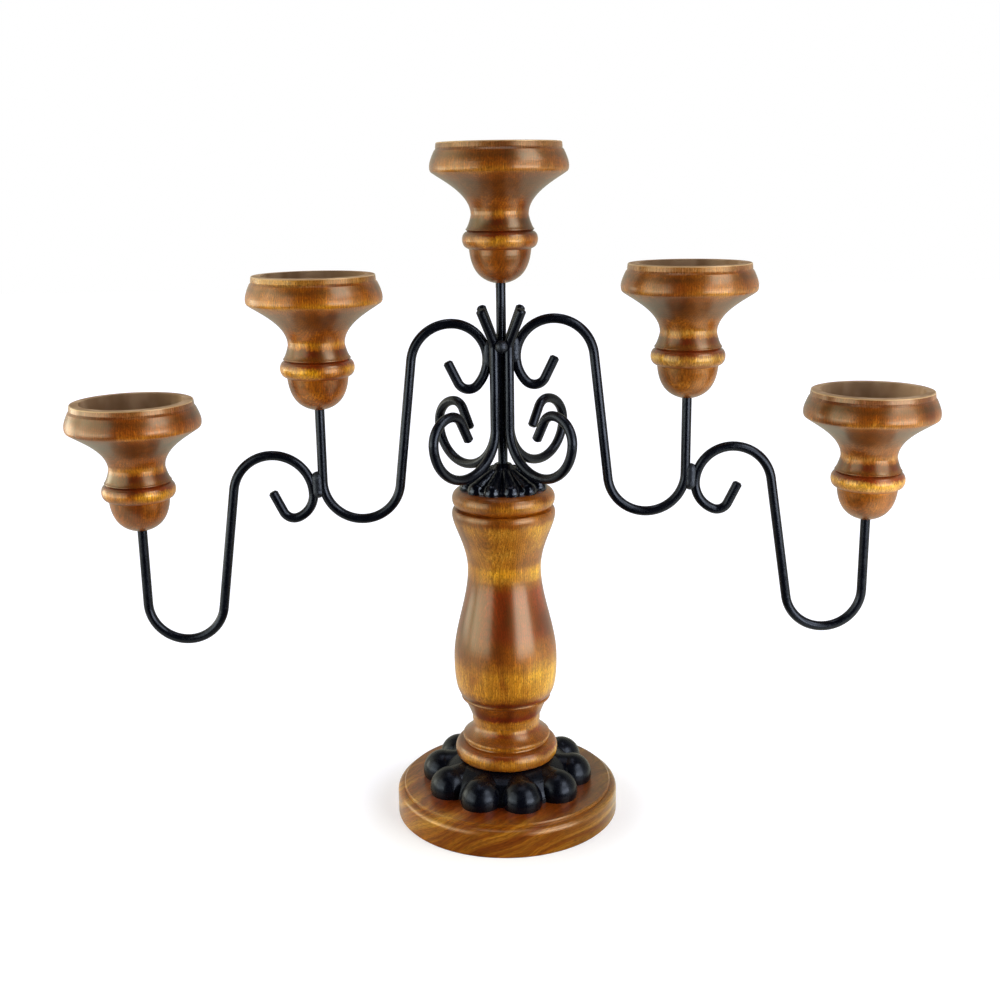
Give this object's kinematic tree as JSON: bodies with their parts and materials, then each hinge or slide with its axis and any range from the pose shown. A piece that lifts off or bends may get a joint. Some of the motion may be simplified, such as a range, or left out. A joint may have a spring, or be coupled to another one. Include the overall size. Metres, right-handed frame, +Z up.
{
  "type": "candelabra",
  "caption": "Tabletop candelabra: a turned wooden stand carries bent black rod arms and scrolls, with a turned wooden candle cup on each rod end.",
  "frame": {"origin": "centre of the base's underside", "axes": "+Z up; +X along the row of cups, towards the right-hand arms; -Y towards the front"},
  "size_m": [0.57, 0.1524, 0.45],
  "materials": {
    "base_wood": "clear satin lacquer over stained hardwood board",
    "column_wood": "clear gloss lacquer over stained turned hardwood",
    "cup_wood": "clear gloss lacquer, stained darker in the coves",
    "rod_black": "satin black paint on round mild steel bar",
    "weld_black": "rough satin black paint over weld metal",
    "rosette_black": "satin black paint",
    "rosette_gloss_black": "gloss black paint",
    "hardware": "zinc plated"
  },
  "bodies": {
    "root": {"base_disc": "base_wood", "base_washer": "hardware", "base_nut": "hardware", "lower_rosette": "rosette_black", "column": "column_wood", "column_washer": "hardware", "column_nut": "hardware", "upper_rosette": "rosette_gloss_black", "center_rod": "rod_black", "scroll_front_left": "rod_black", "scroll_front_right": "rod_black", "scroll_rear_left": "rod_black", "scroll_rear_right": "rod_black", "arm_left_inner": "rod_black", "cup_left_inner": "cup_wood", "arm_right_inner": "rod_black", "cup_right_inner": "cup_wood", "arm_left_outer": "rod_black", "cup_left_outer": "cup_wood", "arm_right_outer": "rod_black", "cup_right_outer": "cup_wood", "cup_top": "cup_wood", "crown_welds": "weld_black", "hub_weld_left": "weld_black", "hub_weld_right": "weld_black", "arm_weld_left": "weld_black", "arm_weld_right": "weld_black", "cup_washers": "hardware", "cup_nuts": "hardware"}
  },
  "joints": []
}
